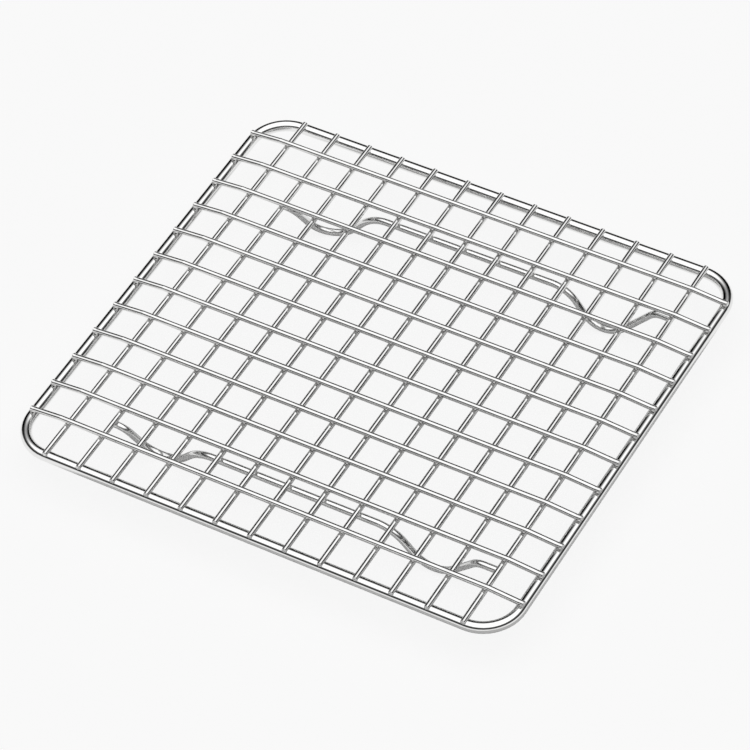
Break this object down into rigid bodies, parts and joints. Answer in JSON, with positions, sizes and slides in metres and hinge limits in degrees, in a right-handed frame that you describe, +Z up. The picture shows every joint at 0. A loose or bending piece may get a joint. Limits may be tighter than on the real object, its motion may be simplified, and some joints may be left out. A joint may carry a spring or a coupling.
{
  "type": "wire grill rack",
  "caption": "Rectangular polished steel wire rack: a thick rounded rim, a crossed grid of thin welded wires and two bent wire legs that hold food above a tray.",
  "frame": {"origin": "centre of the rim's outline, on the surface that the feet stand on", "axes": "+Z up; +X to the right along the upper wires; +Y to the back along the lower wires"},
  "size_m": [0.187, 0.1724, 0.018],
  "materials": {
    "wire": "bright polished stainless steel"
  },
  "bodies": {
    "root": {"rim": "wire", "front_leg": "wire", "back_leg": "wire", "lower_wire_01": "wire", "lower_wire_02": "wire", "lower_wire_03": "wire", "lower_wire_04": "wire", "lower_wire_05": "wire", "lower_wire_06": "wire", "lower_wire_07": "wire", "lower_wire_08": "wire", "lower_wire_09": "wire", "lower_wire_10": "wire", "lower_wire_11": "wire", "lower_wire_12": "wire", "lower_wire_13": "wire", "upper_wire_01": "wire", "upper_wire_02": "wire", "upper_wire_03": "wire", "upper_wire_04": "wire", "upper_wire_05": "wire", "upper_wire_06": "wire", "upper_wire_07": "wire", "upper_wire_08": "wire", "upper_wire_09": "wire", "upper_wire_10": "wire", "upper_wire_11": "wire", "upper_wire_12": "wire"}
  },
  "joints": []
}
